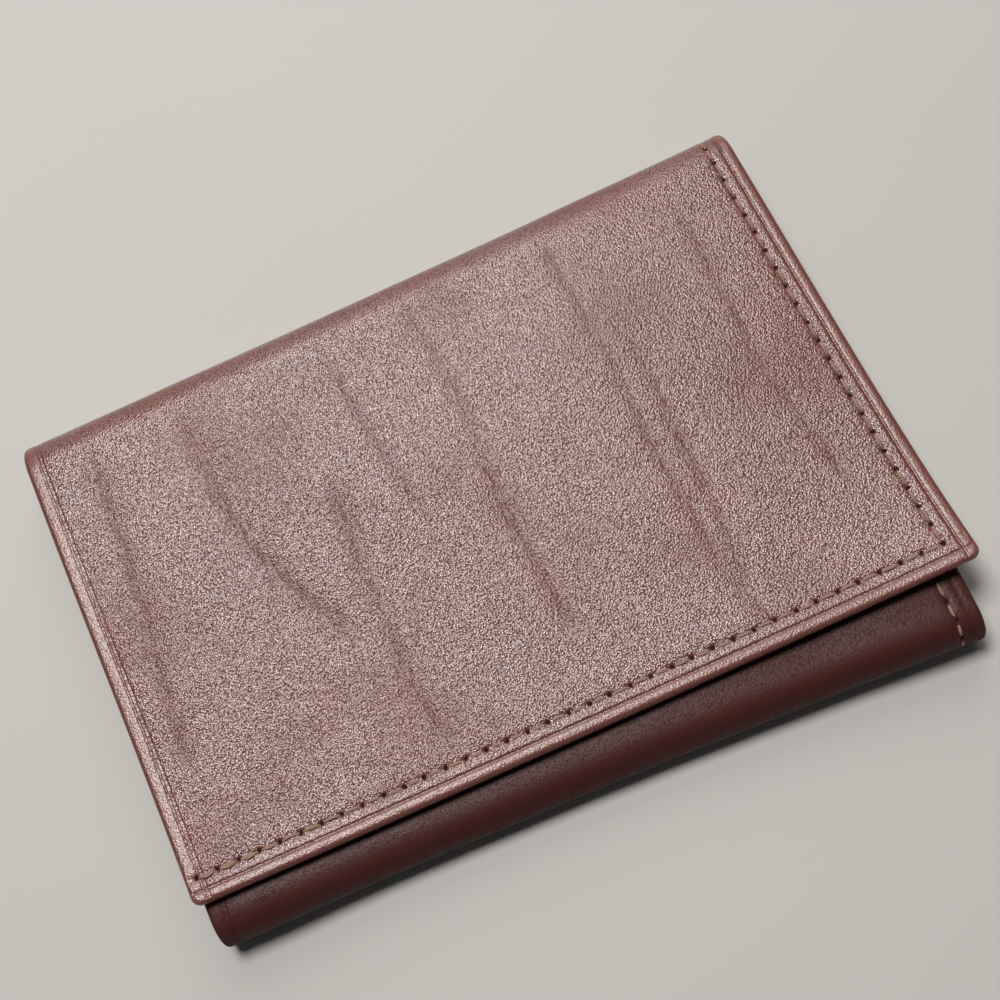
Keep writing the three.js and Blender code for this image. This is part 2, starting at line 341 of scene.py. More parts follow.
def turn_rim(bm, profile, free_end, join):
    """Turns the sheet's rim through the profile's steps, (inset, depth).

    The rim at the join stays open. The pattern layer keeps each point's place on the
    unrolled leather."""
    pattern = bm.verts.layers.float_vector["pattern"]
    rim = []
    for edge in bm.edges:
        on_join = all(abs(vert.co.y - join) < AT_JOIN for vert in edge.verts)
        if edge.is_boundary and not on_join:
            rim.append(edge)
    last = profile[0]
    for inset, depth in profile[1:]:
        made = bmesh.ops.extrude_edge_only(bm, edges=rim)["geom"]
        moved = math.hypot(inset - last[0], depth - last[1])
        for vert in (part for part in made if isinstance(part, bmesh.types.BMVert)):
            centre = inner_corner(vert.co, free_end, join)
            out = (Vector((vert.co.x, vert.co.y, 0.0)) - centre).normalized()
            vert.co += out * (last[0] - inset)
            vert.co.z = -depth
            vert[pattern] = Vector(vert[pattern]) + out * moved
        rim = [part for part in made if isinstance(part, bmesh.types.BMEdge)]
        last = (inset, depth)


def quarter_turn(inset, depth, radius, start, end, steps):
    """Points of a rounded edge about a centre, from one angle to another, in degrees."""
    points = []
    for step in range(1, steps + 1):
        angle = math.radians(start + (end - start) * step / steps)
        points.append((inset - radius * math.sin(angle), depth - radius * math.cos(angle)))
    return points


def finish_piece(bm, name, material, marks=None, fold=True):
    """Folds the flat sheet round the case and makes its object. Its pattern is a UV map."""
    bm.verts.ensure_lookup_table()
    flat = np.array([vert.co for vert in bm.verts])
    pattern = bm.verts.layers.float_vector.get("pattern")
    if pattern is not None:
        unrolled = bm.loops.layers.uv.new("pattern_map")
        for face in bm.faces:
            for loop in face.loops:
                loop[unrolled].uv = loop.vert[pattern].xy
    placed = fold_up(flat) if fold else flat
    for vert, point in zip(bm.verts, placed):
        vert.co = point
    for face in bm.faces:
        face.smooth = True
    mesh = bpy.data.meshes.new(name)
    bm.to_mesh(mesh)
    bm.free()
    for mark, values in (marks or {}).items():
        layer = mesh.attributes.new(mark, "FLOAT", "POINT")
        layer.data.foreach_set("value", np.asarray(values, np.float32))
    mesh.materials.append(material)
    piece = bpy.data.objects.new(name, mesh)
    bpy.context.scene.collection.objects.link(piece)
    return piece


def thicken(piece, thickness):
    """Gives a sheet its thickness, on the side away from its faces."""
    wall = piece.modifiers.new("leather_thickness", "SOLIDIFY")
    wall.thickness = thickness
    wall.offset = -1.0
    wall.use_even_offset = False
    wall.use_quality_normals = True
    return piece


# ---------------------------------------------------------------- relief of the skin


def edge_distances(flat, free_end):
    """Distances from the right edge, the left edge and the free end."""
    from_right = HALF_WIDTH - flat[:, 0]
    from_left = HALF_WIDTH + flat[:, 0]
    from_end = np.abs(flat[:, 1] - free_end)
    return from_right, from_left, from_end


def hole_centres(free_end):
    """Flat places of the needle holes on one half of the strip: (across, along)."""
    sense = 1.0 if free_end < SPINE_MIDDLE else -1.0
    seam_along = free_end + sense * SEAM_INSET
    holes = []
    for number in range(SIDE_STITCHES + 1):
        along = SEAM_INSET + number * SIDE_PITCH
        if (along < SPINE_MIDDLE) == (free_end < SPINE_MIDDLE):
            holes.append((SEAM_X, along))
    for number in range(1, END_STITCHES + 1):
        holes.append((SEAM_X - number * END_PITCH, seam_along))
    return holes


# Grooves in the leather, (depth, half width)
CREASE = (0.15 * MM, 0.13 * MM)
LEFT_CREASE = (0.13 * MM, 0.12 * MM)
SEAM_DIP = (0.11 * MM, 0.55 * MM)
NEEDLE_HOLE = (0.34 * MM, 0.24 * MM)
# The bead along a sewn edge and along the left fold, (distance from the edge, half width)
SEWN_BEAD = (1.0 * MM, 0.4 * MM)
FOLDED_BEAD = (1.2 * MM, 0.5 * MM)
FOLDED_BEAD_SHARE = 0.6
BEAD_HEIGHT = 0.05 * MM
# The seam's dip runs on past its last stitch, and stops short of the edge
SEAM_RUN_ON = 1.0 * MM
SEAM_RUN_OUT = 0.3 * MM
# Unevenness of the leather over its boards, (size, height)
SLOW_WAVES = (21 * MM, 0.28 * MM)
QUICK_WAVES = (7 * MM, 0.06 * MM)


def seam_relief(flat, free_end):
    """How far the leather sinks at its creases, along its seam and at the needle holes."""
    from_right, from_left, from_end = edge_distances(flat, free_end)
    depth = CREASE[0] * groove(from_right - CREASE_INSET, CREASE[1])
    depth = np.maximum(depth, CREASE[0] * groove(from_end - CREASE_INSET, CREASE[1]))
    for crease in LEFT_CREASES:
        depth = np.maximum(depth, LEFT_CREASE[0] * groove(from_left - crease, LEFT_CREASE[1]))
    bead = np.maximum(
        groove(from_right - SEWN_BEAD[0], SEWN_BEAD[1]), groove(from_end - SEWN_BEAD[0], SEWN_BEAD[1])
    )
    left_bead = FOLDED_BEAD_SHARE * groove(from_left - FOLDED_BEAD[0], FOLDED_BEAD[1])
    depth = depth - BEAD_HEIGHT * np.maximum(bead, left_bead)
    sewn = flat[:, 0] > SEAM_START_X - SEAM_RUN_ON
    inside = from_end > SEAM_INSET - SEAM_RUN_OUT
    side_seam = groove(from_right - SEAM_INSET, SEAM_DIP[1]) * inside
    end_seam = groove(from_end - SEAM_INSET, SEAM_DIP[1]) * sewn
    depth = depth + SEAM_DIP[0] * np.maximum(side_seam, end_seam)
    for across, along in hole_centres(free_end):
        near = np.hypot(flat[:, 0] - across, flat[:, 1] - along)
        depth = depth + NEEDLE_HOLE[0] * groove(near, NEEDLE_HOLE[1])
    return depth


def lie_of_skin(flat):
    """Slow unevenness of the leather over its boards."""
    slow = soft_noise(flat, SLOW_WAVES[0], 5)
    quick = soft_noise(flat, QUICK_WAVES[0], 6)
    return SLOW_WAVES[1] * slow + QUICK_WAVES[1] * quick


# ---------------------------------------------------------------- shader helpers


def socket(tree, name, kind, is_input, default=None):
    """Adds a named socket to a node group."""
    way = "INPUT" if is_input else "OUTPUT"
    made = tree.interface.new_socket(name=name, in_out=way, socket_type=kind)
    if default is not None:
        made.default_value = default
    return made


class Shader:
    """Short ways to add and join nodes in a node tree."""

    def __init__(self, tree):
        self.tree = tree

    def add(self, kind, **settings):
        node = self.tree.nodes.new(kind)
        for key, value in settings.items():
            setattr(node, key, value)
        return node

    def feed(self, value, target):
        """Joins a socket to the target, or sets the target's own value."""
        if isinstance(value, bpy.types.NodeSocket):
            self.tree.links.new(value, target)
        else:
            target.default_value = value

    def sum(self, operation, *values):
        """A Math node."""
        node = self.add("ShaderNodeMath", operation=operation)
        for number, value in enumerate(values):
            self.feed(value, node.inputs[number])
        return node.outputs[0]

    def ramp(self, value, low, high, to_low=0.0, to_high=1.0):
        """A smooth Map Range."""
        node = self.add("ShaderNodeMapRange", interpolation_type="SMOOTHSTEP")
        for number, item in enumerate((value, low, high, to_low, to_high)):
            self.feed(item, node.inputs[number])
        return node.outputs[0]

    def stretch(self, vector, scale):
        """Scales a pattern's coordinates."""
        node = self.add("ShaderNodeMapping")
        self.feed(vector, node.inputs["Vector"])
        node.inputs["Scale"].default_value = scale
        return node.outputs[0]

    def length(self, first, second):
        """The length of the diagonal of two sides."""
        squared = self.sum("MULTIPLY_ADD", first, first, self.sum("MULTIPLY", second, second))
        return self.sum("SQRT", squared)

    def noise(self, vector, scale, detail, roughness, distortion=0.0):
        """Cloudy noise, 0 to 1. The scale counts its lumps to the metre."""
        node = self.add("ShaderNodeTexNoise")
        self.feed(vector, node.inputs["Vector"])
        self.feed(scale, node.inputs["Scale"])
        self.feed(detail, node.inputs["Detail"])
        self.feed(roughness, node.inputs["Roughness"])
        self.feed(distortion, node.inputs["Distortion"])
        return node.outputs["Fac"]

    def cells(self, vector, scale, smoothness):
        """Distance from the middle of the nearest pebble."""
        node = self.add("ShaderNodeTexVoronoi", feature="SMOOTH_F1")
        self.feed(vector, node.inputs["Vector"])
        self.feed(scale, node.inputs["Scale"])
        node.inputs["Smoothness"].default_value = smoothness
        return node.outputs["Distance"]

    def drift(self, vector, scale, detail, far, back=0.0):
        """Moves coordinates about unevenly, from -back to far - back, across and along."""
        uneven = self.add("ShaderNodeTexNoise")
        self.feed(vector, uneven.inputs["Vector"])
        uneven.inputs["Scale"].default_value = scale
        uneven.inputs["Detail"].default_value = detail
        centred = self.add("ShaderNodeVectorMath", operation="ADD")
        self.feed(vector, centred.inputs[0])
        centred.inputs[1].default_value = (-back, -back, 0.0)
        moved = self.add("ShaderNodeVectorMath", operation="MULTIPLY_ADD")
        self.feed(uneven.outputs["Color"], moved.inputs[0])
        moved.inputs[1].default_value = (far, far, 0.0)
        self.feed(centred.outputs[0], moved.inputs[2])
        return moved.outputs[0]

    def apart(self, vector):
        """The across and along parts of flat coordinates."""
        node = self.add("ShaderNodeSeparateXYZ")
        self.feed(vector, node.inputs[0])
        return node.outputs["X"], node.outputs["Y"]

    def colour_mix(self, share, first, second):
        """The first colour at share 0, the second at 1."""
        node = self.add("ShaderNodeMix", data_type="RGBA")
        self.feed(share, node.inputs["Factor"])
        self.feed(first, node.inputs[6])
        self.feed(second, node.inputs[7])
        return node.outputs[2]

    def attribute(self, name):
        """A mark that the piece's own points carry."""
        node = self.add("ShaderNodeAttribute", attribute_type="GEOMETRY", attribute_name=name)
        return node.outputs["Fac"]

    def unrolled(self):
        """The leather's own flat coordinates, in metres."""
        return self.add("ShaderNodeUVMap", uv_map="pattern_map").outputs["UV"]


def new_group(name):
    """An empty node group and the way to fill it."""
    tree = bpy.data.node_groups.new(name, "ShaderNodeTree")
    return tree, Shader(tree)


def use_group(shader, tree, **values):
    """Places a node group in a material with its own values."""
    node = shader.add("ShaderNodeGroup", node_tree=tree)
    for key, value in values.items():
        shader.feed(value, node.inputs[key])
    return node


# Grain of the leather: it drifts a little, and its fine part is drawn out along the skin
GRAIN_DRIFT_SCALE = 900.0
GRAIN_DRIFT = 0.14 * MM
PEBBLE_SMOOTHNESS = 0.12
PEBBLE_ROUNDNESS = 1.6
FINE_STRETCH = (1.0, 0.62, 1.0)
FINE_DETAIL = (2.0, 0.6, 0.3)
# Shares of the way from a pebble's middle, and of the fine grain's height
VALLEY_FROM = (0.42, 0.75)
TOP_UNTIL = (0.15, 0.42)
FINE_TOP_FROM = (0.42, 0.62)


def leather_grain():
    """Pebbled grain of rounded pebbles with a finer grain over them.

    Pebbles and Fine are counts to the metre, Relief is the height of the fine grain."""
    tree, shader = new_group("leather_grain")
    socket(tree, "Place", "NodeSocketVector", True)
    socket(tree, "Pebbles", "NodeSocketFloat", True, 1600.0)
    socket(tree, "Fine", "NodeSocketFloat", True, 4200.0)
    socket(tree, "Relief", "NodeSocketFloat", True, 0.5)
    socket(tree, "Height", "NodeSocketFloat", False)
    socket(tree, "Valley", "NodeSocketFloat", False)
    socket(tree, "Top", "NodeSocketFloat", False)
    start = shader.add("NodeGroupInput")
    end = shader.add("NodeGroupOutput")
    shifted = shader.drift(start.outputs["Place"], GRAIN_DRIFT_SCALE, 1.0, GRAIN_DRIFT)
    pebble = shader.cells(shifted, start.outputs["Pebbles"], PEBBLE_SMOOTHNESS)
    dome = shader.sum("SUBTRACT", 1.0, shader.sum("POWER", pebble, PEBBLE_ROUNDNESS))
    long_place = shader.stretch(shifted, FINE_STRETCH)
    fine = shader.noise(long_place, start.outputs["Fine"], *FINE_DETAIL)
    height = shader.sum("MULTIPLY_ADD", fine, start.outputs["Relief"], dome)
    shader.feed(height, end.inputs["Height"])
    shader.feed(shader.ramp(pebble, *VALLEY_FROM), end.inputs["Valley"])
    # The pebble tops: the outside leather's colour has glints painted on them here
    on_pebble = shader.ramp(pebble, *TOP_UNTIL, 1.0, 0.0)
    on_fine = shader.ramp(fine, *FINE_TOP_FROM)
    shader.feed(shader.sum("MULTIPLY", on_pebble, on_fine), end.inputs["Top"])
    return tree


# Needle holes: their rim is soft and a little ragged
HOLE_DRIFT_SCALE = 520.0
HOLE_DRIFT = 0.5 * MM
HOLE_RIM = (0.17 * MM, 0.36 * MM)
SEAM_OVERRUN = SEAM_INSET * 0.2


def from_hole(shader, off_seam, on_seam, pitch):
    """Distance to the nearest hole of a seam whose holes lie a pitch apart."""
    steps = shader.sum("DIVIDE", on_seam, pitch)
    near = shader.sum("SUBTRACT", steps, shader.sum("ROUND", steps))
    return shader.length(off_seam, shader.sum("MULTIPLY", near, pitch))


def needle_holes():
    """Dark needle holes of both seams, from the unrolled leather's coordinates."""
    tree, shader = new_group("needle_holes")
    socket(tree, "Place", "NodeSocketVector", True)
    socket(tree, "Hole", "NodeSocketFloat", False)
    start = shader.add("NodeGroupInput")
    end = shader.add("NodeGroupOutput")
    moved = shader.drift(start.outputs["Place"], HOLE_DRIFT_SCALE, 2.0, HOLE_DRIFT, HOLE_DRIFT / 2)
    across, along = shader.apart(moved)
    from_seam_x = shader.sum("SUBTRACT", across, SEAM_X)
    from_start = shader.sum("SUBTRACT", along, SEAM_INSET)
    from_finish = shader.sum("SUBTRACT", STRIP_LENGTH - SEAM_INSET, along)
    from_ends = shader.sum("MINIMUM", from_start, from_finish)
    # The side seam runs between the two ends. Past them the distance is made large.
    side = from_hole(shader, from_seam_x, from_start, SIDE_PITCH)
    past_ends = shader.sum("LESS_THAN", from_ends, -SEAM_OVERRUN)
    side = shader.sum("ADD", side, past_ends)
    # The seams across both ends run from the side seam to the last stitch
    cross = from_hole(shader, from_ends, from_seam_x, END_PITCH)
    past_right = shader.sum("GREATER_THAN", across, SEAM_X + SEAM_OVERRUN)
    past_left = shader.sum("LESS_THAN", across, SEAM_START_X - SEAM_OVERRUN)
    cross = shader.sum("ADD", cross, shader.sum("ADD", past_right, past_left))
    nearest = shader.sum("MINIMUM", side, cross)
    shader.feed(shader.ramp(nearest, *HOLE_RIM, 1.0, 0.0), end.inputs["Hole"])
    return tree


# Where the leather over the bottom fold starts and ends to be drawn taut, and painted in shadow, along
# the strip
TIGHT_SHADE_STARTS = (BACK_END - 7 * MM, BACK_END + 1 * MM)
TIGHT_SHADE_ENDS = (FOLD_END + 2 * MM, FOLD_END + 18 * MM)
TIGHT_SHADE_REST = 0.35
# Clouds of noise, (lumps to the metre, detail, roughness), and the levels that are kept
WEAR_HIGHLIGHT_CLOUDS = (260.0, 3.0, 0.6)
MIDDLE_LEVELS = (0.3, 0.7)
LEAST_WEAR_HIGHLIGHT = 0.6


def edge_wear_and_painted_light():
    """First output: leather worn lighter on the beads, in patches, and with it a painted highlight along
    them.

    Second output: the leather over the bottom fold, drawn smooth and dull, and a painted shadow over it."""
    tree, shader = new_group("edge_wear_and_painted_light")
    socket(tree, "Place", "NodeSocketVector", True)
    socket(tree, "WearAndHighlight", "NodeSocketFloat", False)
    socket(tree, "TightShaded", "NodeSocketFloat", False)
    start = shader.add("NodeGroupInput")
    end = shader.add("NodeGroupOutput")
    place = start.outputs["Place"]
    # The beads are worn lighter in patches, and the lighter colour also stands in as a painted highlight
    clouds = shader.noise(place, *WEAR_HIGHLIGHT_CLOUDS)
    patchy = shader.ramp(clouds, *MIDDLE_LEVELS, LEAST_WEAR_HIGHLIGHT, 1.0)
    shader.feed(shader.sum("MULTIPLY", shader.attribute("bead"), patchy), end.inputs["WearAndHighlight"])
    along = shader.apart(place)[1]
    # The bottom fold's mask: its leather is drawn taut, smooth and dull, and a painted shadow lies over
    # it
    fold_starts = shader.ramp(along, *TIGHT_SHADE_STARTS)
    fold_ends = shader.ramp(along, *TIGHT_SHADE_ENDS, 1.0, TIGHT_SHADE_REST)
    shader.feed(shader.sum("MULTIPLY", fold_starts, fold_ends), end.inputs["TightShaded"])
    return tree


GRAIN = leather_grain()
HOLES = needle_holes()
WEAR_AND_PAINTED_LIGHT = edge_wear_and_painted_light()


def new_material(name):
    """A material, the way to add nodes to it, and its surface."""
    material = bpy.data.materials.new(name)
    material.use_nodes = True
    tree = material.node_tree
    surface = tree.nodes["Principled BSDF"]
    return material, Shader(tree), surface


def bump(shader, height, distance):
    """The surface's direction over a relief of the given height."""
    node = shader.add("ShaderNodeBump")
    shader.feed(height, node.inputs["Height"])
    node.inputs["Distance"].default_value = distance
    node.inputs["Strength"].default_value = 1.0
    return node.outputs["Normal"]


def paint(red, green, blue):
    """A colour with full cover."""
    return (red, green, blue, 1.0)


# Colours of the outside leather, some of them painted light and shade, as said at each
OXBLOOD_DEEP = paint(0.146, 0.040, 0.032)
OXBLOOD_BRIGHT = paint(0.180, 0.052, 0.041)
MOTTLE_BROWN = paint(0.112, 0.031, 0.026)
GRAIN_VALLEY = paint(0.060, 0.014, 0.012)
# Painted glints: a pale cream on the pebble tops, standing in for the light they catch
PAINTED_GLINT = paint(0.42, 0.28, 0.24)
# Painted shade: a darker, redder colour in the wrinkles
WRINKLE_SHADE = paint(0.125, 0.026, 0.022)
# Painted shade: dark fine lines in the wrinkles' creases
FINE_LINE_SHADE = paint(0.060, 0.013, 0.012)
TURNED_RED = paint(0.120, 0.030, 0.026)
# Worn beads: a lighter pink for real wear, and a painted highlight along the beads
RUBBED_PINK_HIGHLIGHT = paint(0.30, 0.135, 0.112)
# Painted shadow: a deep brown over the bottom fold, below the flap's edge
FOLD_PAINTED_SHADOW = paint(0.048, 0.010, 0.008)
# Painted shade in the needle holes
HOLE_SHADE = paint(0.018, 0.007, 0.006)
# How much of each colour is laid over the one before
MOTTLE_COVER = 0.35
VALLEY_COVER = 0.55
GLINT_COVER = 0.45
WRINKLE_SHADE_COVER = 0.5
LINE_SHADE_COVER = 0.35
TURNED_COVER = 0.35
RUBBED_HIGHLIGHT_COVER = 0.36
FOLD_SHADOW_COVER = 0.90
# Roughness of the polished grain, and how much each mark adds to it
POLISH = (0.20, 0.32)
WRINKLE_ROUGH = 0.20
HOLE_ROUGH = 0.6
VALLEY_ROUGH = 0.18
TURNED_ROUGH = 0.13
TIGHT_ROUGH = 0.30
# How much of the glaze each mark takes away
TIGHT_DULL = 0.95
WRINKLE_DULL = 0.45
PATCH_DULL = 0.38
TURNED_DULL = 0.40
VALLEY_DULL = 0.4
# How much flatter the grain is where the leather is turned over an edge or drawn tight
TURNED_FLAT = 0.50
TIGHT_FLAT = 0.65
# Height of the relief, and how deep its fine lines and its holes are against the grain
GRAIN_RELIEF = 0.068 * MM
LINE_DEPTH = 0.6
HOLE_DEPTH = 1.0
# Gloss of the leather under its glaze, and of the glaze
LEATHER_GLOSS = 0.25
GLAZE_INDEX = 1.75
GLAZE_ROUGHNESS = 0.30
# Clouds of noise, (lumps to the metre, detail, roughness), and the levels that are kept
SLOW_CLOUDS = (38.0, 3.0, 0.55)
MOTTLE_CLOUDS = (190.0, 3.0, 0.6)
POLISH_CLOUDS = (900.0, 2.0, 0.6)
DULL_CLOUDS = (48.0, 2.0, 0.5)
LINE_CLOUDS = (2300.0, 2.0, 0.6)
MOTTLE_LEVELS = (0.35, 0.75)
POLISH_LEVELS = (0.3, 0.75)
DULL_LEVELS = (0.46, 0.66)
LINE_LEVELS = (0.48, 0.62)
# The fine lines in the wrinkles run along them, ten times as long as they are wide
LINE_STRETCH = (1.0, 0.10, 1.0)
OUTSIDE_GRAIN = {"Pebbles": 3700.0, "Fine": 7000.0, "Relief": 0.4}


def laid_over(shader, colour, cover, mask, over):
    """Lays one colour over another where its mask is."""
    return shader.colour_mix(shader.sum("MULTIPLY", mask, cover), colour, over)


def outside_marks(shader, place):
    """The masks of the outside leather: its grain, with glints painted on its pebbles, its worn beads
    with a painted highlight, the painted shadow over the bottom fold, its wrinkles and fine lines with
    painted shade, and its holes with painted shade.
    """
    grain = use_group(shader, GRAIN, Place=place, **OUTSIDE_GRAIN)
    wear_and_light = use_group(shader, WEAR_AND_PAINTED_LIGHT, Place=place)
    marks = {
        "height": grain.outputs["Height"],
        "valley": grain.outputs["Valley"],
        "tight_shaded": wear_and_light.outputs["TightShaded"],
        "rubbed_highlight": wear_and_light.outputs["WearAndHighlight"],
        "hole": use_group(shader, HOLES, Place=place).outputs["Hole"],
        "wrinkle": shader.attribute("wrinkle"),
        "turned": shader.attribute("turned"),
    }
    # Fine crease lines in the wrinkles, sunk in the relief and given painted shade in the colour
    lines = shader.noise(shader.stretch(place, LINE_STRETCH), *LINE_CLOUDS)
    marks["lines"] = shader.sum("MULTIPLY", shader.ramp(lines, *LINE_LEVELS), marks["wrinkle"])
    # Glints are painted on the pebble tops, but not on turned edges or over the bottom fold
    worked = shader.sum("MAXIMUM", marks["turned"], marks["tight_shaded"])
    unworked = shader.sum("SUBTRACT", 1.0, worked)
    marks["glint_tops"] = shader.sum("MULTIPLY", grain.outputs["Top"], unworked)
    return marks


def outside_colour(shader, place, marks):
    """Oxblood with each mark's colour laid over it: painted glints on the grain, painted shade in the
    wrinkles, fine lines and holes, a painted highlight on the worn beads, and a painted shadow over the
    bottom fold.
    """
    slow = shader.noise(place, *SLOW_CLOUDS)
    mottle = shader.ramp(shader.noise(place, *MOTTLE_CLOUDS), *MOTTLE_LEVELS, 0.0, MOTTLE_COVER)
    colour = shader.colour_mix(shader.ramp(slow, *MIDDLE_LEVELS), OXBLOOD_DEEP, OXBLOOD_BRIGHT)
    colour = shader.colour_mix(mottle, colour, MOTTLE_BROWN)
    for mark, cover, over in (
        ("valley", VALLEY_COVER, GRAIN_VALLEY),
        ("glint_tops", GLINT_COVER, PAINTED_GLINT),
        ("wrinkle", WRINKLE_SHADE_COVER, WRINKLE_SHADE),
        ("lines", LINE_SHADE_COVER, FINE_LINE_SHADE),
        ("turned", TURNED_COVER, TURNED_RED),
        ("rubbed_highlight", RUBBED_HIGHLIGHT_COVER, RUBBED_PINK_HIGHLIGHT),
        ("tight_shaded", FOLD_SHADOW_COVER, FOLD_PAINTED_SHADOW),
    ):
        colour = laid_over(shader, colour, cover, marks[mark], over)
    return shader.colour_mix(marks["hole"], colour, HOLE_SHADE)


def outside_roughness(shader, place, marks):
    """Polished grain, made rougher by each mark."""
    rough = shader.ramp(shader.noise(place, *POLISH_CLOUDS), *POLISH_LEVELS, *POLISH)
    for mark, more in (
        ("wrinkle", WRINKLE_ROUGH),
        ("hole", HOLE_ROUGH),
        ("valley", VALLEY_ROUGH),
        ("turned", TURNED_ROUGH),
        ("tight_shaded", TIGHT_ROUGH),
    ):
        rough = shader.sum("MULTIPLY_ADD", marks[mark], more, rough)
    return rough


def outside_glaze(shader, place, marks):
    """How much glaze is left on the leather, which is dull in patches and at each mark."""
    patches = shader.ramp(shader.noise(place, *DULL_CLOUDS), *DULL_LEVELS, 0.0, PATCH_DULL)
    dull = shader.sum("MAXIMUM", patches, marks["hole"])
    for mark, less in (
        ("tight_shaded", TIGHT_DULL),
        ("wrinkle", WRINKLE_DULL),
        ("turned", TURNED_DULL),
        ("valley", VALLEY_DULL),
    ):
        dull = shader.sum("MAXIMUM", dull, shader.sum("MULTIPLY", marks[mark], less))
    return shader.sum("SUBTRACT", 1.0, dull)


def outside_relief(shader, marks):
    """Height of the grain, flatter where worked, with its fine lines and holes sunk in."""
    turned = shader.sum("MULTIPLY", marks["turned"], TURNED_FLAT)
    tight_shaded = shader.sum("MULTIPLY", marks["tight_shaded"], TIGHT_FLAT)
    left = shader.sum("SUBTRACT", 1.0, shader.sum("MAXIMUM", turned, tight_shaded))
    height = shader.sum("MULTIPLY", marks["height"], left)
    height = shader.sum("MULTIPLY_ADD", marks["lines"], -LINE_DEPTH, height)
    return shader.sum("MULTIPLY_ADD", marks["hole"], -HOLE_DEPTH, height)


def outside_leather():
    """Grained and glazed outside, with its wrinkles, turned edges and needle holes."""
    material, shader, surface = new_material("oxblood_grained_leather")
    place = shader.unrolled()
    marks = outside_marks(shader, place)
    shader.feed(outside_colour(shader, place, marks), surface.inputs["Base Color"])
    shader.feed(outside_roughness(shader, place, marks), surface.inputs["Roughness"])
    shader.feed(outside_glaze(shader, place, marks), surface.inputs["Coat Weight"])
    surface.inputs["Specular IOR Level"].default_value = LEATHER_GLOSS
    surface.inputs["Coat IOR"].default_value = GLAZE_INDEX
    surface.inputs["Coat Roughness"].default_value = GLAZE_ROUGHNESS
    normal = bump(shader, outside_relief(shader, marks), GRAIN_RELIEF)
    shader.feed(normal, surface.inputs["Normal"])
    shader.feed(normal, surface.inputs["Coat Normal"])
    return material


# Painted shade in the lining's needle holes
LINING_HOLE_SHADE = paint(0.010, 0.004, 0.004)
LINING_RELIEF = 0.025 * MM
LINING_HOLE_DEPTH = 3.0
LINING_VALLEY_COVER = 0.5
LINING_GLOSS = 0.4
LINING_CLOUDS = (60.0, 4.0, 0.6)
SATIN_CLOUDS = (700.0, 2.0, 0.6)
SATIN = (0.5, 0.66)
LINING_GRAIN = {"Fine": 5200.0, "Relief": 0.8}


def lining_leather(name, deep, bright, valley, pebbles):
    """Smooth, satin leather for the inside."""
    material, shader, surface = new_material(name)
    place = shader.unrolled()
    grain = use_group(shader, GRAIN, Place=place, Pebbles=pebbles, **LINING_GRAIN)
    hole = use_group(shader, HOLES, Place=place).outputs["Hole"]
    slow = shader.noise(place, *LINING_CLOUDS)
    colour = shader.colour_mix(shader.ramp(slow, *MIDDLE_LEVELS), deep, bright)
    colour = laid_over(shader, colour, LINING_VALLEY_COVER, grain.outputs["Valley"], valley)
    colour = shader.colour_mix(hole, colour, LINING_HOLE_SHADE)
    shader.feed(colour, surface.inputs["Base Color"])
    rough = shader.ramp(shader.noise(place, *SATIN_CLOUDS), *POLISH_LEVELS, *SATIN)
    shader.feed(rough, surface.inputs["Roughness"])
    surface.inputs["Specular IOR Level"].default_value = LINING_GLOSS
    height = shader.sum("MULTIPLY_ADD", hole, -LINING_HOLE_DEPTH, grain.outputs["Height"])
    shader.feed(bump(shader, height, LINING_RELIEF), surface.inputs["Normal"])
    return material


TWIST_RELIEF = 0.04 * MM
TWIST_WOBBLE = 0.6
FUZZ_CLOUDS = (9.0, 3.0, 0.7)
FUZZ_LEVELS = (0.4, 0.8)
FUZZ_COVER = 0.5
THREAD_ROUGHNESS = (0.6, 0.8)


def spun_thread(name, light, dark_shade_and_fuzz):
    """Two-ply thread: its twist runs slantwise round each stitch."""
    material, shader, surface = new_material(name)
    place = shader.unrolled()
    twist = shader.add("ShaderNodeTexWave", wave_type="BANDS", bands_direction="DIAGONAL")
    shader.feed(place, twist.inputs["Vector"])
    twist.inputs["Scale"].default_value = 1.0
    twist.inputs["Distortion"].default_value = TWIST_WOBBLE
    fuzz = shader.noise(place, *FUZZ_CLOUDS)
    # The thread is painted darker in the grooves of its twist, as painted shade, and darker in patches
    # of fuzz
    colour = shader.colour_mix(twist.outputs["Fac"], dark_shade_and_fuzz, light)
    colour = shader.colour_mix(shader.ramp(fuzz, *FUZZ_LEVELS, 0.0, FUZZ_COVER), colour, dark_shade_and_fuzz)
    shader.feed(colour, surface.inputs["Base Color"])
    shader.feed(shader.ramp(fuzz, *MIDDLE_LEVELS, *THREAD_ROUGHNESS), surface.inputs["Roughness"])
    shader.feed(bump(shader, twist.outputs["Fac"], TWIST_RELIEF), surface.inputs["Normal"])
    return material


BOARD_BROWN = paint(0.20, 0.145, 0.095)
BOARD_BUFF = paint(0.32, 0.245, 0.17)
FIBRE_CLOUDS = (1500.0, 3.0, 0.7)
FIBRE_STRETCH = (1.0, 3.0, 1.0)
FIBRE_LEVELS = (0.2, 0.8)
FIBRE_ROUGHNESS = (0.8, 0.95)
FIBRE_RELIEF = 0.03 * MM


def fibre_board():
    """Matt board of bonded fibres, which run across the case."""
    material, shader, surface = new_material("bonded_fibre_board")
    place = shader.unrolled()
    fibres = shader.noise(shader.stretch(place, FIBRE_STRETCH), *FIBRE_CLOUDS)
    colour = shader.colour_mix(fibres, BOARD_BROWN, BOARD_BUFF)
    shader.feed(colour, surface.inputs["Base Color"])
    shader.feed(shader.ramp(fibres, *FIBRE_LEVELS, *FIBRE_ROUGHNESS), surface.inputs["Roughness"])
    shader.feed(bump(shader, fibres, FIBRE_RELIEF), surface.inputs["Normal"])
    return material


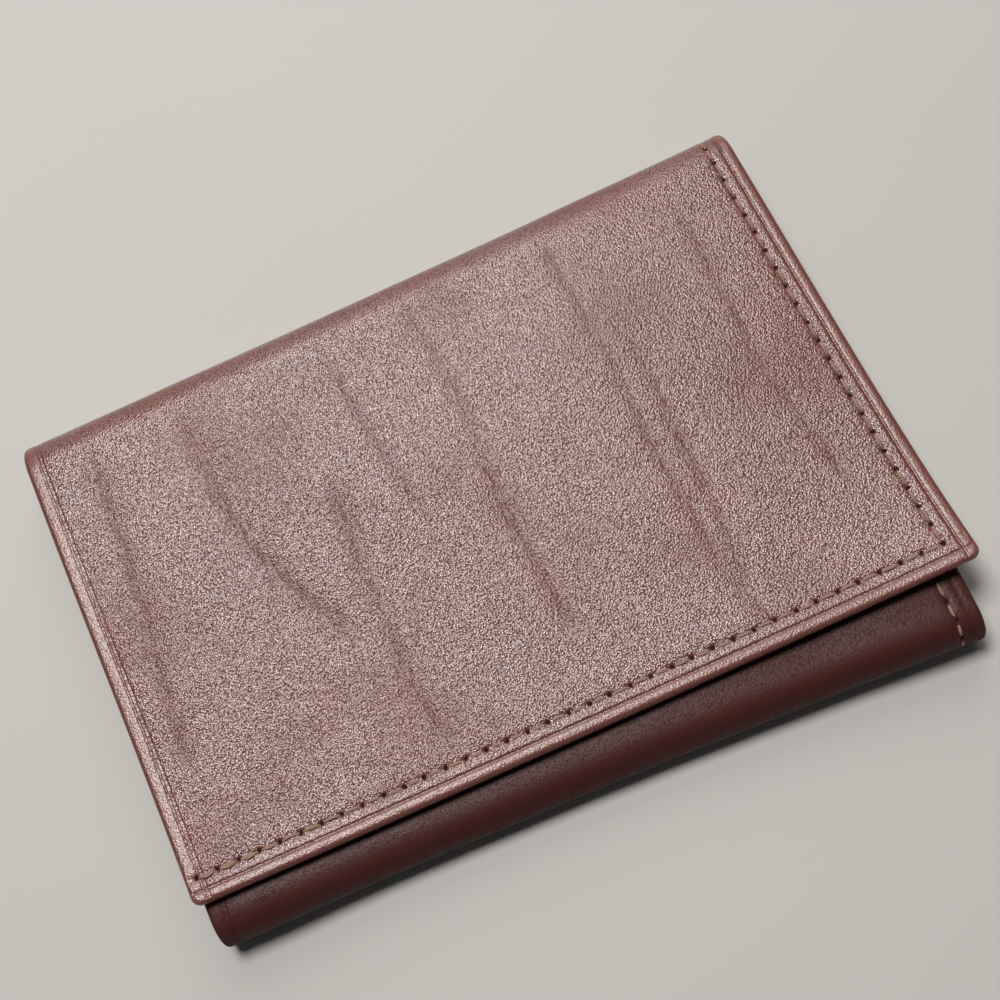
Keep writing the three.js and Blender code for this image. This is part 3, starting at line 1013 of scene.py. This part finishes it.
OUTSIDE = outside_leather()
LINING = lining_leather(
    "satin_lining_leather",
    deep=paint(0.118, 0.034, 0.029),
    bright=paint(0.146, 0.044, 0.036),
    valley=paint(0.070, 0.019, 0.017),
    pebbles=2600.0,
)
GUSSET = lining_leather(
    "thin_gusset_leather",
    deep=paint(0.088, 0.023, 0.023),
    bright=paint(0.110, 0.031, 0.028),
    valley=paint(0.055, 0.014, 0.014),
    pebbles=2900.0,
)
NEEDLE = spun_thread("tan_needle_thread", light=paint(0.46, 0.31, 0.235), dark_shade_and_fuzz=paint(0.25, 0.14, 0.10))
BOBBIN = spun_thread("tan_bobbin_thread", light=paint(0.40, 0.25, 0.18), dark_shade_and_fuzz=paint(0.22, 0.12, 0.085))
BOARD = fibre_board()

# ---------------------------------------------------------------- leather pieces

# How far the outside's rim runs in under the leather
RIM_UNDER = 1.25 * MM
OUTSIDE_RIM = (
    [(EDGE_ROUND, 0.0)]
    + quarter_turn(EDGE_ROUND, EDGE_ROUND, EDGE_ROUND, 0.0, 90.0, 5)
    + [(0.0, WALL / 2)]
    + quarter_turn(UNDER_ROUND, WALL - LINING_PROUD - UNDER_ROUND, UNDER_ROUND, 90.0, 180.0, 3)
    + [(RIM_UNDER, WALL - LINING_PROUD)]
)


# The unevenness fades out this far from the edges, and the back's this near its folds
FADE = 5 * MM
BACK_MARGIN = 2 * MM
# Wear, and the painted highlight that goes with it, lies on the beads, (distance from the edge, half
# width)
SEWN_WEAR_HIGHLIGHT = (0.9 * MM, 0.6 * MM)
FOLDED_WEAR_HIGHLIGHT = (1.1 * MM, 0.6 * MM)
# The leather counts as turned over up to here, and then less and less
TURNED_WIDTH = 1.5 * MM
TURNED_FADE = 1.6 * MM


def keep_pattern(bm):
    """Stores each point's place on the flat leather."""
    pattern = bm.verts.layers.float_vector.new("pattern")
    for vert in bm.verts:
        vert[pattern] = vert.co


def edge_marks(points, free_end):
    """(bead, turned) at flat points: where the edges are worn and painted lighter as a highlight, and
    where turned over.
    """
    from_right, from_left, from_end = edge_distances(points, free_end)
    bead = np.maximum(
        groove(from_right - SEWN_WEAR_HIGHLIGHT[0], SEWN_WEAR_HIGHLIGHT[1]), groove(from_end - SEWN_WEAR_HIGHLIGHT[0], SEWN_WEAR_HIGHLIGHT[1])
    )
    bead = np.maximum(bead, groove(from_left - FOLDED_WEAR_HIGHLIGHT[0], FOLDED_WEAR_HIGHLIGHT[1]))
    nearest = np.minimum(np.minimum(from_right, from_left), from_end)
    turned = 1.0 - smooth_step((nearest - TURNED_WIDTH) / TURNED_FADE)
    return bead, turned


def skin_relief(flat, free_end, join):
    """How far the outside leather sinks: its seam, its creases and its unevenness."""
    fade = smooth_step(np.min(edge_distances(flat, free_end), axis=0) / FADE)
    fade = fade * smooth_step(np.abs(flat[:, 1] - join) / FADE)
    return seam_relief(flat, free_end) + lie_of_skin(flat) * fade


def skin_sheet(name, free_end, join, column_step, row_step, on_flap):
    """The grained outside of the flap or of the case, with its edges turned over."""
    sense = 1.0 if free_end < join else -1.0
    columns = sheet_lines(
        -HALF_WIDTH + EDGE_ROUND,
        HALF_WIDTH - EDGE_ROUND,
        column_step,
        SEAM_X,
        list(LEFT_END_LINES) + list(RIGHT_END_LINES),
    )
    low, high = sorted((free_end + sense * EDGE_ROUND, join))
    close_to_join = join - sense * JOIN_STEP
    fine_rows = list(free_end + sense * CREASED_EDGE) + [close_to_join]
    rows = sheet_lines(low, high, row_step, SEAM_INSET, fine_rows)
    bm = flat_grid(columns, rows)
    round_corners(bm, free_end, join)
    keep_pattern(bm)
    flat = np.array([vert.co for vert in bm.verts])
    relief = skin_relief(flat, free_end, join)
    marks = np.zeros(len(flat))
    if on_flap:
        dents, marks = wrinkle_marks(flat)
        relief = relief + dents
    # Nothing on the back stands out below the face that the case lies on
    on_back = (flat[:, 1] > SPINE_END - BACK_MARGIN) & (flat[:, 1] < BACK_END + BACK_MARGIN)
    relief = np.where(on_back, np.maximum(relief, 0.0), relief)
    turn_rim(bm, OUTSIDE_RIM, free_end, join)
    bm.verts.ensure_lookup_table()
    for number, sunk in enumerate(relief):
        bm.verts[number].co.z -= sunk
    whole = np.array([vert.co for vert in bm.verts])
    bead, turned = edge_marks(whole, free_end)
    wrinkle = np.zeros(len(whole))
    wrinkle[: len(flat)] = marks
    piece = finish_piece(bm, name, OUTSIDE, {"bead": bead, "wrinkle": wrinkle, "turned": turned})
    return thicken(piece, SKIN_THICKNESS)


# The lining is drawn in a little along its seam, (depth, half width). Its rim turns in
# towards the outside leather in two steps, (nearer the edge, nearer the outside).
LINING_SEAM = (0.09 * MM, 0.6 * MM)
LINING_RIM = ((0.06 * MM, 0.05 * MM), (0.08 * MM, 0.45 * MM))
LINING_THINNER = 0.06 * MM


def lining_sheet(name, free_end, join, step):
    """The smooth inside of the flap or of the case, set in from the turned edges."""
    sense = 1.0 if free_end < join else -1.0
    inset = LINING_INSET
    half = HALF_WIDTH - inset
    columns = sheet_lines(-half, half, step, SEAM_X, HALF_WIDTH - np.array(AT_SEAM) * MM)
    low, high = sorted((free_end + sense * inset, join))
    close_to_join = join - sense * JOIN_STEP
    rows = sheet_lines(low, high, step, SEAM_INSET, [close_to_join])
    bm = flat_grid(columns, rows)
    round_corners(bm, free_end, join)
    keep_pattern(bm)
    flat = np.array([vert.co for vert in bm.verts])
    from_right, _, from_end = edge_distances(flat, free_end)
    drawn_in, width = LINING_SEAM
    sewn = np.maximum(groove(from_right - SEAM_INSET, width), groove(from_end - SEAM_INSET, width))
    for vert, share in zip(bm.verts, sewn):
        vert.co.z = -WALL + drawn_in * share
    edge = [(inset, WALL)] + [(inset - out, WALL - turn) for out, turn in LINING_RIM]
    turn_rim(bm, edge, free_end, join)
    bmesh.ops.reverse_faces(bm, faces=bm.faces)
    return thicken(finish_piece(bm, name, LINING), SKIN_THICKNESS - LINING_THINNER)


BOARD_LINES = (40, 30)


def board_sheet(name, node, start, end):
    """A stiffening board between the two layers, from one place along the strip to another."""
    low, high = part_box(node)
    columns = np.linspace(low.x, high.x, BOARD_LINES[0])
    rows = np.linspace(start, end, BOARD_LINES[1])
    bm = flat_grid(columns, rows)
    keep_pattern(bm)
    for vert in bm.verts:
        vert.co.z = -(WALL - BOARD_THICKNESS) / 2
    return thicken(finish_piece(bm, name, BOARD), BOARD_THICKNESS)


GUSSET_SKIN = 0.5 * MM
# The gusset's bend has its centre this far in from the edge, and its two legs end straight
GUSSET_BEND = 3.4 * MM
LEG_START = 0.4 * MM
LEG_END = 1.2 * MM
BEND_STEPS = 12
GUSSET_STEPS = 46


def gusset_bellows(name, node, side):
    """A gusset: a strip folded into a U that is open to the outside."""
    low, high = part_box(node)
    outer = high.x if side > 0 else -low.x
    bend = outer - GUSSET_BEND
    middle = (low.z + high.z) / 2
    radius = (high.z - low.z) / 2
    leg = [outer, outer - LEG_START, bend + LEG_END]
    section = [(across, radius) for across in leg]
    for step in range(BEND_STEPS + 1):
        angle = math.radians(90 + 180 * step / BEND_STEPS)
        section.append((bend + radius * math.cos(angle), radius * math.sin(angle)))
    section += [(across, -radius) for across in reversed(leg)]
    bm = bmesh.new()
    pattern = bm.verts.layers.float_vector.new("pattern")
    verts = []
    run = 0.0
    before = section[0]
    for across, up in section:
        run += math.hypot(across - before[0], up - before[1])
        before = (across, up)
        vert = bm.verts.new((side * across, low.y, middle + up))
        vert[pattern] = Vector((run, 0.0, 0.0))
        verts.append(vert)
    rim = [bm.edges.new(pair) for pair in zip(verts, verts[1:])]
    step = (high.y - low.y) / GUSSET_STEPS
    for _ in range(GUSSET_STEPS):
        made = bmesh.ops.extrude_edge_only(bm, edges=rim)["geom"]
        for vert in (part for part in made if isinstance(part, bmesh.types.BMVert)):
            vert.co.y += step
            vert[pattern] = Vector(vert[pattern]) + Vector((0.0, step, 0.0))
        rim = [part for part in made if isinstance(part, bmesh.types.BMEdge)]
    flat = np.array([vert.co for vert in bm.verts])
    places = settle(flat, np.zeros(len(flat), bool))
    for vert, point in zip(bm.verts, places):
        vert.co = point
    bm.normal_update()
    top = max(bm.faces, key=lambda face: face.calc_center_median().z)
    if top.normal.z < 0:
        bmesh.ops.reverse_faces(bm, faces=bm.faces)
    return thicken(finish_piece(bm, name, GUSSET, fold=False), GUSSET_SKIN)


# ---------------------------------------------------------------- stitches

STITCH_SIDES = 6
# Along one stitch: share of the way, height over the leather in millimetres, thickness
STITCH_COURSE = (
    (0.07, -0.44, 0.60),
    (0.14, -0.20, 0.80),
    (0.27, 0.02, 1.0),
    (0.50, 0.09, 1.05),
    (0.73, 0.02, 1.0),
    (0.86, -0.20, 0.80),
    (0.93, -0.44, 0.60),
)
THREAD_RADIUS = 0.20 * MM
# The thread is pressed a little flat: its width and its height against a round one
PRESSED = (1.15, 0.85)
TWIST_LENGTH = 7.0
STITCH_SUNK = 0.10 * MM
# One stitch leans sideways, rises and sinks by up to this much, in millimetres
STITCH_LEAN = 0.13
STITCH_RISE = 0.02
STITCH_SINK = 0.05
# The seam starts with a few stitches sewn over again, beside the first ones
BACK_STITCHES = 3
BACK_STITCH_LEAN = 0.30 * MM
BACK_STITCH_RISE = 0.6 * THREAD_RADIUS


def lay_stitch(bm, start, end, depth, outward, lean):
    """One stitch from hole to hole on the flat strip, standing out of the given depth."""
    pattern = bm.verts.layers.float_vector["pattern"]
    ring = bmesh.ops.create_circle(bm, cap_ends=True, segments=STITCH_SIDES, radius=1.0)["verts"]
    way = Vector((end[0] - start[0], end[1] - start[1], 0.0))
    side = Vector((-way.y, way.x, 0.0)).normalized()
    up = Vector((0.0, 0.0, outward))
    angles = [2 * math.pi * number / STITCH_SIDES for number in range(STITCH_SIDES)]

    def set_ring(verts, course):
        share, rise, girth = course
        centre = Vector((start[0], start[1], -depth)) + way * share + up * rise * MM
        centre += side * lean * (1.0 - abs(2 * share - 1.0))
        for vert, angle in zip(verts, angles):
            arm = side * math.cos(angle) * PRESSED[0] + up * math.sin(angle) * PRESSED[1]
            vert.co = centre + arm * THREAD_RADIUS * girth
            vert[pattern] = Vector((share * TWIST_LENGTH, angle, 0.0))

    set_ring(ring, STITCH_COURSE[0])
    cap = ring[0].link_faces[0]
    for course in STITCH_COURSE[1:]:
        made = bmesh.ops.extrude_discrete_faces(bm, faces=[cap])["faces"]
        cap = made[0]
        set_ring(list(cap.verts), course)


def uneven(chance):
    """How far one stitch leans sideways and sinks in, by chance."""
    lean = float(chance.uniform(-STITCH_LEAN, STITCH_LEAN))
    sink = float(chance.uniform(-STITCH_RISE, STITCH_SINK))
    return lean * MM, sink * MM


def stitches(name, material, free_end, depth, outward, chance):
    """All the stitches of one thread on one half of the strip, each a little uneven."""
    bm = bmesh.new()
    bm.verts.layers.float_vector.new("pattern")
    sense = 1.0 if free_end < SPINE_MIDDLE else -1.0
    seam_along = free_end + sense * SEAM_INSET
    for number in range(SIDE_STITCHES):
        start = SEAM_INSET + number * SIDE_PITCH
        end = start + SIDE_PITCH
        if ((start + end) / 2 < SPINE_MIDDLE) == (free_end < SPINE_MIDDLE):
            lean, sink = uneven(chance)
            lay_stitch(bm, (SEAM_X, start), (SEAM_X, end), depth + sink, outward, lean)
    for number in range(END_STITCHES):
        start = (SEAM_X - number * END_PITCH, seam_along)
        end = (start[0] - END_PITCH, seam_along)
        lean, sink = uneven(chance)
        lay_stitch(bm, start, end, depth + sink, outward, lean)
        if number >= END_STITCHES - BACK_STITCHES:
            over = depth + sink - BACK_STITCH_RISE * outward
            lay_stitch(bm, start, end, over, outward, BACK_STITCH_LEAN)
    bmesh.ops.recalc_face_normals(bm, faces=bm.faces)
    return finish_piece(bm, name, material)


# ---------------------------------------------------------------- the case put together

# Grid steps: the stitches' holes fall on grid lines
FLAP_STEPS = (END_PITCH / 5, SIDE_PITCH / 5)
CASE_STEPS = (END_PITCH / 3, SIDE_PITCH / 5)
LINING_STEP = 0.9 * MM


def strip_place(node, end):
    """Where a board starts and ends along the strip, from its place on the case."""
    low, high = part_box(node)
    if end == "flap":
        return low.y - FLAP_EDGE_Y, high.y - FLAP_EDGE_Y
    if end == "back":
        return SPINE_END + SPINE_Y - high.y, SPINE_END + SPINE_Y - low.y
    return FOLD_END + low.y - FOLD_Y, FOLD_END + high.y - FOLD_Y


flap_skin = skin_sheet("flap_outer_skin", 0.0, SPINE_MIDDLE, *FLAP_STEPS, True)
case_skin = skin_sheet("case_outer_skin", STRIP_LENGTH, SPINE_MIDDLE, *CASE_STEPS, False)
flap_lining = lining_sheet("flap_lining_sheet", 0.0, SPINE_MIDDLE, LINING_STEP)
case_lining = lining_sheet("case_lining_sheet", STRIP_LENGTH, SPINE_MIDDLE, LINING_STEP)
flap_board = board_sheet("flap_board_sheet", "flap_board", *strip_place("flap_board", "flap"))
back_board = board_sheet("back_board_sheet", "back_board", *strip_place("back_board", "back"))
pocket_board = board_sheet("pocket_board_sheet", "pocket_board", *strip_place("pocket_board", "pocket"))
left_gusset = gusset_bellows("gusset_left_bellows", "gusset_left", -1)
right_gusset = gusset_bellows("gusset_right_bellows", "gusset_right", 1)
needle_depth = STITCH_SUNK
bobbin_depth = WALL - STITCH_SUNK
luck = np.random.default_rng(41)
flap_needle = stitches("flap_needle_stitches", NEEDLE, 0.0, needle_depth, 1.0, luck)
case_needle = stitches("case_needle_stitches", NEEDLE, STRIP_LENGTH, needle_depth, 1.0, luck)
flap_bobbin = stitches("flap_bobbin_stitches", BOBBIN, 0.0, bobbin_depth, -1.0, luck)
case_bobbin = stitches("case_bobbin_stitches", BOBBIN, STRIP_LENGTH, bobbin_depth, -1.0, luck)

# ---------------------------------------------------------------- bodies


def bend_with_flap(piece, nodes):
    """The flap's half of a piece: its CAD nodes are hidden and its place is baked into its mesh."""
    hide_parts(*nodes)
    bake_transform(piece)


def bend_with_case(piece, nodes):
    """The case's half of a piece: its CAD nodes are hidden and its place is baked into its mesh."""
    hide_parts(*nodes)
    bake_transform(piece)


def ride_on(piece, body, node):
    """A piece that stays rigid on one body."""
    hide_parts(node)
    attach(piece, body)


ON_FLAP = ("flap", "spine")
ON_CASE = ("back", "fold", "pocket")


def layers(places, layer):
    """The CAD's nodes of one layer at some places of the case."""
    return [place + "_" + layer for place in places]


bend_with_flap(flap_skin, layers(ON_FLAP, "outer"))
bend_with_case(case_skin, layers(ON_CASE, "outer"))
bend_with_flap(flap_lining, layers(ON_FLAP, "lining"))
bend_with_case(case_lining, layers(ON_CASE, "lining"))
bend_with_flap(flap_needle, layers(ON_FLAP, "needle_thread"))
bend_with_case(case_needle, layers(ON_CASE, "needle_thread"))
bend_with_flap(flap_bobbin, layers(ON_FLAP, "bobbin_thread"))
bend_with_case(case_bobbin, layers(ON_CASE, "bobbin_thread"))
ride_on(flap_board, "flap", "flap_board")
ride_on(back_board, "case", "back_board")
ride_on(pocket_board, "case", "pocket_board")
ride_on(left_gusset, "case", "gusset_left")
ride_on(right_gusset, "case", "gusset_right")

# ---------------------------------------------------------------- floor, light, camera

# The floor lies just under the case, so that the two faces don't share a plane
FLOOR_GAP = 0.03 * MM
FLOOR_HALF = 5.0
FLOOR_SHADE = paint(0.47, 0.47, 0.46)
FLOOR_PALE = paint(0.52, 0.52, 0.51)
FLOOR_ROUGHNESS = 0.7
FLOOR_CLOUDS = (6.0, 3.0, 0.5)


def studio_floor():
    """A plain pale floor."""
    material, shader, surface = new_material("pale_floor")
    coords = shader.add("ShaderNodeTexCoord").outputs["Object"]
    cloudy = shader.noise(coords, *FLOOR_CLOUDS)
    colour = shader.colour_mix(cloudy, FLOOR_SHADE, FLOOR_PALE)
    shader.feed(colour, surface.inputs["Base Color"])
    surface.inputs["Roughness"].default_value = FLOOR_ROUGHNESS
    bm = bmesh.new()
    bmesh.ops.create_grid(bm, x_segments=2, y_segments=2, size=FLOOR_HALF)
    for vert in bm.verts:
        vert.co.z = -FLOOR_GAP
    mesh = bpy.data.meshes.new("floor")
    bm.to_mesh(mesh)
    bm.free()
    mesh.materials.append(material)
    floor = bpy.data.objects.new("floor", mesh)
    bpy.context.scene.collection.objects.link(floor)


LIGHT_DISTANCE = 0.8
WARM_WHITE = (1.0, 0.955, 0.905)
SKY_WHITE = paint(1.0, 0.99, 0.98)
SKY_STRENGTH = 0.06


def soft_light(name, direction, size, radiance):
    """A round soft box that faces the case. Its face is as bright as the radiance says."""
    light = bpy.data.lights.new(name, "AREA")
    light.shape = "DISK"
    light.color = WARM_WHITE
    light.size = size
    area = math.pi * size * size / 4
    light.energy = radiance * math.pi * area
    lamp = bpy.data.objects.new(name, light)
    aim = Vector(direction).normalized()
    lamp.location = aim * LIGHT_DISTANCE
    lamp.rotation_mode = "QUATERNION"
    lamp.rotation_quaternion = aim.to_track_quat("Z", "Y")
    bpy.context.scene.collection.objects.link(lamp)


def studio_world():
    """A dim even light from all round."""
    world = bpy.data.worlds.new("studio")
    world.use_nodes = True
    back = world.node_tree.nodes["Background"]
    back.inputs["Color"].default_value = SKY_WHITE
    back.inputs["Strength"].default_value = SKY_STRENGTH
    bpy.context.scene.world = world


CAMERA_RISE = math.radians(73.2)
CAMERA_TURN = math.radians(-7.9)
CAMERA_ROLL = math.radians(16.7)
CAMERA_DISTANCE = 209.5 * MM
CAMERA_LENS = 59.4
CAMERA_SENSOR = 36.0
CAMERA_CLIP = (0.01, 10.0)
# It looks at a point a little to the right of the flap's middle and nearer the pocket
ASIDE = 2.7 * MM
BELOW = 1.6 * MM
CAMERA_AIM = Vector((ASIDE, (SPINE_Y + SPINE_RADIUS + FLAP_EDGE_Y) / 2 - BELOW, HEIGHT))


def place_camera():
    """Looks down on the flap from the pocket's side, with the case turned in the frame."""
    camera = bpy.data.objects.new("camera", bpy.data.cameras.new("camera"))
    bpy.context.scene.collection.objects.link(camera)
    level = math.cos(CAMERA_RISE)
    back = Vector((math.sin(CAMERA_TURN) * level, -math.cos(CAMERA_TURN) * level, math.sin(CAMERA_RISE)))
    upright = back.to_track_quat("Z", "Y").to_matrix()
    rolled = upright @ Matrix.Rotation(-CAMERA_ROLL, 3, "Z")
    camera.matrix_world = Matrix.Translation(CAMERA_AIM + back * CAMERA_DISTANCE) @ rolled.to_4x4()
    camera.data.lens = CAMERA_LENS
    camera.data.sensor_width = CAMERA_SENSOR
    camera.data.clip_start, camera.data.clip_end = CAMERA_CLIP
    bpy.context.scene.camera = camera


studio_floor()
studio_world()
soft_light("overhead_soft_box", direction=(0.15, 0.80, 0.60), size=0.60, radiance=2.8)
soft_light("window_light", direction=(-0.12, 0.28, 0.95), size=0.30, radiance=26.0)
place_camera()
bpy.context.scene.view_settings.view_transform = "Standard"
